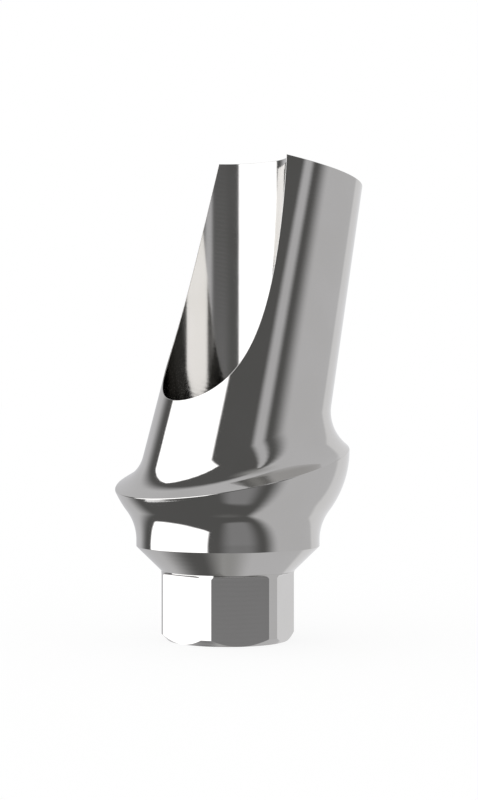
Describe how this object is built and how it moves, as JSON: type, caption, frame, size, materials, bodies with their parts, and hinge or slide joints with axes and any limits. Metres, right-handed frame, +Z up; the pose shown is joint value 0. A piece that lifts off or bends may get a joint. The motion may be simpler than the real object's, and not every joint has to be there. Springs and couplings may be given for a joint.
{
  "type": "angled dental abutment",
  "caption": "Leaning post on a tilted-margin collar, with a conical seat and a hexagon that enters a dental implant; the screw passage opens through the low side of the post.",
  "frame": {"origin": "centre of the flat end face of the hexagon, on the implant axis", "axes": "+Z up the implant axis from the hexagon to the post; +X is the way the post leans and the normal of one hexagon flat; the part is symmetric about the XZ plane"},
  "size_m": [0.0054, 0.0048, 0.0097],
  "materials": {
    "titanium": null
  },
  "bodies": {
    "root": {"abutment": "titanium"}
  },
  "joints": []
}
